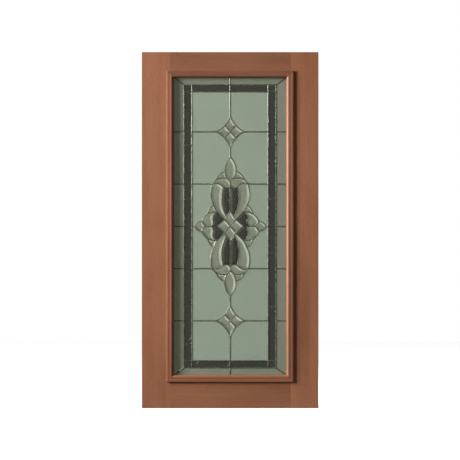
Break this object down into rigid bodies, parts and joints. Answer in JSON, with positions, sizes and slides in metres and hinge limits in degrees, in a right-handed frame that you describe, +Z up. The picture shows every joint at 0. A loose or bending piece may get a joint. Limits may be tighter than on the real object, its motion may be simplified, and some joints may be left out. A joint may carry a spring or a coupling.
{
  "type": "leadlight door",
  "caption": "Tall glazed timber entrance door leaf: stile and rail frame, mitred bolection moulding and a leaded panel of bevelled, clear and dark glass.",
  "frame": {"origin": "the middle of the hinge stile's outer edge, at half the leaf's height and half its thickness", "axes": "+X runs from the hinge edge across the leaf to the lock edge, +Y from the moulded front face through to the back face, +Z up along the stiles"},
  "size_m": [1.012, 0.0482, 2.04],
  "materials": {
    "timber": "red-brown hardwood, planed and sanded, matt clear finish",
    "lead": "dull grey lead, brushed, with soldered joints",
    "field_glass": "lightly textured pale grey-green sheet",
    "border_glass": "clear sheet",
    "bevel_glass": "clear, polished bevels",
    "dark_glass": "dark grey, bevelled in the motif"
  },
  "bodies": {
    "root": {"clear_border_bottom": "border_glass", "clear_border_left": "border_glass", "clear_border_right": "border_glass", "clear_border_top": "border_glass", "clear_petal_bottom_left": "bevel_glass", "clear_petal_bottom_right": "bevel_glass", "clear_petal_top_left": "bevel_glass", "clear_petal_top_right": "bevel_glass", "crown_bevel_bottom_left": "bevel_glass", "crown_bevel_bottom_right": "bevel_glass", "crown_bevel_top_left": "bevel_glass", "crown_bevel_top_right": "bevel_glass", "dark_band_bottom": "dark_glass", "dark_band_left": "dark_glass", "dark_band_right": "dark_glass", "dark_band_top": "dark_glass", "dark_petals_bottom": "dark_glass", "dark_petals_top": "dark_glass", "dark_wing_bottom_left": "dark_glass", "dark_wing_bottom_right": "dark_glass", "dark_wing_top_left": "dark_glass", "dark_wing_top_right": "dark_glass", "field_pane_inner_bottom_left": "field_glass", "field_pane_inner_bottom_right": "field_glass", "field_pane_inner_top_left": "field_glass", "field_pane_inner_top_right": "field_glass", "field_pane_middle_bottom_left": "field_glass", "field_pane_middle_bottom_right": "field_glass", "field_pane_middle_top_left": "field_glass", "field_pane_middle_top_right": "field_glass", "field_pane_outer_bottom_left": "field_glass", "field_pane_outer_bottom_right": "field_glass", "field_pane_outer_top_left": "field_glass", "field_pane_outer_top_right": "field_glass", "lattice_bevels": "bevel_glass", "lead_came": "lead", "leaf_bevels_bottom": "bevel_glass", "leaf_bevels_top": "bevel_glass", "moulding_bottom": "timber", "moulding_left": "timber", "moulding_right": "timber", "moulding_top": "timber", "rail_bottom": "timber", "rail_top": "timber", "round_bevel_bottom_left": "bevel_glass", "round_bevel_bottom_right": "bevel_glass", "round_bevel_top_left": "bevel_glass", "round_bevel_top_right": "bevel_glass", "shoulder_bevel_bottom_left": "bevel_glass", "shoulder_bevel_bottom_right": "bevel_glass", "shoulder_bevel_top_left": "bevel_glass", "shoulder_bevel_top_right": "bevel_glass", "spear_bevel_bottom": "bevel_glass", "spear_bevel_top": "bevel_glass", "star_bevels_bottom": "bevel_glass", "star_bevels_top": "bevel_glass", "stile_left": "timber", "stile_right": "timber", "tip_bevel_left": "bevel_glass", "tip_bevel_right": "bevel_glass"}
  },
  "joints": []
}
